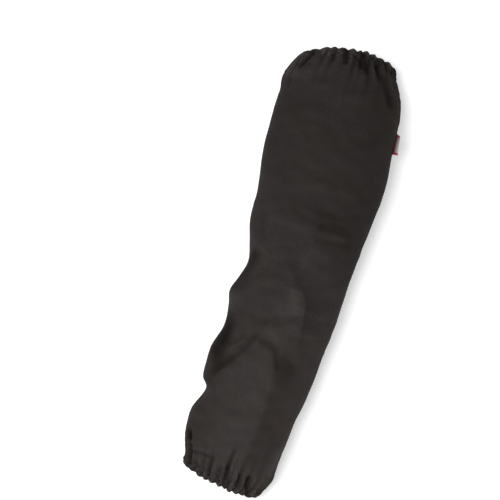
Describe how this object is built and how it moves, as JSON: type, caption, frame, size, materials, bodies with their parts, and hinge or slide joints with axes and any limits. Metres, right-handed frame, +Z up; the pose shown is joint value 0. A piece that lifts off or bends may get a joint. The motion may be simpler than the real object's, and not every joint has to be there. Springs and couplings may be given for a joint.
{
  "type": "welding sleeve",
  "caption": "Hollow protective cloth sleeve for the forearm and elbow, gathered by an elastic hem at each end, lying puffed on its flat underside.",
  "frame": {"origin": "on the surface that the sleeve lies on, under the middle of its bounding box", "axes": "+Y runs from the wrist to the upper arm, +X points to the side with the seam and the label, +Z points up from the surface"},
  "size_m": [0.1536, 0.535, 0.086],
  "materials": {
    "cloth": "matte near-black flame-resistant cotton, washed and slightly worn",
    "elastic_band": "woven elastic, hidden in the hems",
    "woven_label": "woven tape, red ends with a light grey field"
  },
  "bodies": {
    "root": {"sleeve_body": "cloth", "wrist_hem": "cloth", "upper_hem": "cloth", "wrist_elastic": "elastic_band", "upper_elastic": "elastic_band", "side_label": "woven_label"}
  },
  "joints": []
}
